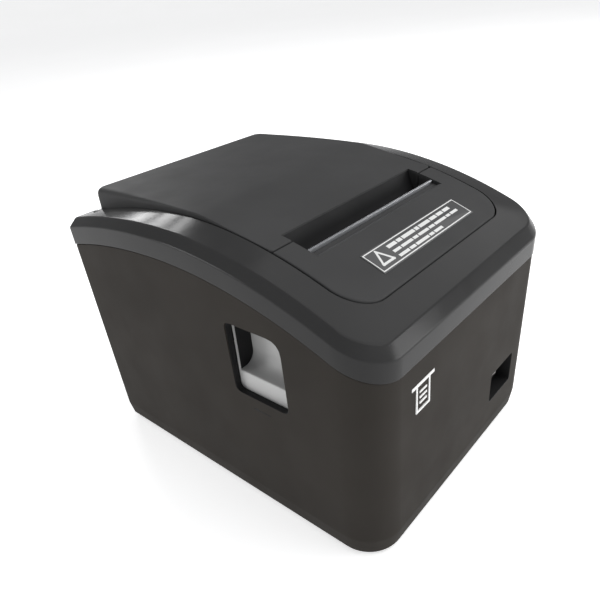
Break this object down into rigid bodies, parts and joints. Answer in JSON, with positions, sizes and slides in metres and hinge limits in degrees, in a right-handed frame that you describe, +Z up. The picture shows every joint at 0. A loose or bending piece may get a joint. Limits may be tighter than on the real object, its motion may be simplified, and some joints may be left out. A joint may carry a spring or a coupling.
{
  "type": "receipt printer",
  "caption": "Desktop thermal receipt printer with an arched top, a rear-hinged paper cover, a side release lever, a drop-in roll bay and an automatic cutter.",
  "frame": {"origin": "middle of the printer's outer box, on the surface that its rubber feet stand on", "axes": "+Z up, -Y towards the front face with the power switch, +X to the right as seen from the front"},
  "size_m": [0.1458, 0.1758, 0.1323],
  "materials": {
    "case_black": "fine moulded texture",
    "frame_black": "satin",
    "cover_black": "fine moulded texture",
    "inner_black": "matt",
    "lever_grey": "matt",
    "switch_grey": "satin",
    "rubber": "matt",
    "steel": "brushed",
    "blade_steel": "ground",
    "spring_steel": "bright",
    "aluminium": "extruded",
    "bronze": "machined",
    "gear_white": "moulded",
    "board_green": "solder mask",
    "label_black": "printed film",
    "badge_white": "pad printed",
    "ceramic": "glazed",
    "cable_white": "film",
    "lens_clear": "clear"
  },
  "bodies": {
    "case": {"lower_case": "case_black", "top_frame": "frame_black", "base_plate": "inner_black", "rubber_feet": "rubber", "base_screws": "steel", "front_cover": "cover_black", "tear_bar": "blade_steel", "notice_label": "label_black", "front_badge": "badge_white", "lever_spring": "spring_steel", "power_switch": "cover_black", "button_board": "board_green", "status_lenses": "lens_clear", "rear_panel": "inner_black", "power_inlet": "inner_black", "usb_port": "steel", "ethernet_port": "steel", "serial_port": "steel", "drawer_port": "inner_black", "main_board": "board_green", "board_screws": "steel", "head_cable": "cable_white", "roll_tray": "inner_black", "side_plate_left": "steel", "side_plate_right": "steel", "cross_plate": "steel", "chassis_screws": "steel", "head_springs": "spring_steel", "cutter_frame": "steel", "cutter_motor": "steel", "feed_motor": "steel", "hinge_pins": "steel", "paper_sensor": "inner_black"},
    "lid": {"paper_cover": "cover_black", "fixed_blade": "blade_steel", "platen_carrier": "steel", "carrier_screws": "steel", "platen_bearings": "bronze", "catch_springs": "spring_steel"},
    "platen": {"platen_roller": "rubber", "platen_shaft": "steel", "platen_gear": "gear_white"},
    "idler": {"idler_gear": "gear_white", "idler_shaft": "steel", "reduction_gear": "gear_white"},
    "feed_rotor": {"motor_pinion": "bronze"},
    "release": {"release_lever": "lever_grey", "lever_shaft": "steel", "latch_hooks": "steel"},
    "rocker": {"power_rocker": "switch_grey"},
    "button": {"feed_button": "lever_grey"},
    "head": {"print_head": "ceramic", "heat_sink": "aluminium"},
    "blade": {"moving_blade": "blade_steel"},
    "cutter_rotor": {"cutter_pinion": "bronze"}
  },
  "joints": [
    {"name": "lid_hinge", "type": "hinge", "parent": "case", "child": "lid", "pos_m": [0, 0.076, 0.12], "axis": [-1, 0, 0], "range_deg": [0, 90], "deforming": ["catch_springs"]},
    {"name": "platen_spin", "type": "hinge", "parent": "lid", "child": "platen", "pos_m": [0, -0.029, 0.098], "axis": [1, 0, 0], "continuous": true},
    {"name": "idler_spin", "type": "hinge", "parent": "case", "child": "idler", "pos_m": [0.047, -0.025, 0.07891], "axis": [1, 0, 0], "continuous": true},
    {"name": "feed_rotor_spin", "type": "hinge", "parent": "case", "child": "feed_rotor", "pos_m": [0.051, -0.03705, 0.06554], "axis": [1, 0, 0], "continuous": true},
    {"name": "release_lever_press", "type": "hinge", "parent": "case", "child": "release", "pos_m": [0, -0.024, 0.064], "axis": [1, 0, 0], "range_deg": [0, 12], "stiffness_Nm_per_rad": 0.6, "springref_deg": -11.46, "deforming": ["lever_spring"]},
    {"name": "power_rocker_tilt", "type": "hinge", "parent": "case", "child": "rocker", "pos_m": [0.03635, -0.0766, 0.03125], "axis": [0, 0, 1], "range_deg": [-14, 0]},
    {"name": "feed_button_press", "type": "slide", "parent": "case", "child": "button", "axis": [-1, 0, 0], "range_m": [0, 0.001], "stiffness_N_per_m": 400, "springref_m": -0.001},
    {"name": "print_head_tilt", "type": "hinge", "parent": "case", "child": "head", "pos_m": [0, -0.0395, 0.076], "axis": [1, 0, 0], "range_deg": [0, 0.8], "stiffness_Nm_per_rad": 4, "springref_deg": -5.73},
    {"name": "blade_slide", "type": "slide", "parent": "case", "child": "blade", "axis": [0, 1, 0], "range_m": [0, 0.008]},
    {"name": "cutter_rotor_spin", "type": "hinge", "parent": "case", "child": "cutter_rotor", "pos_m": [0.031, -0.06, 0.1085], "axis": [0, 0, 1], "range_deg": [-5, 100]}
  ],
  "couplings": [
    {"joint": "idler_spin", "follows": "platen_spin", "ratio": -0.73333},
    {"joint": "feed_rotor_spin", "follows": "platen_spin", "ratio": 2.2},
    {"joint": "cutter_rotor_spin", "follows": "blade_slide", "rad_per_m": 208.33}
  ]
}
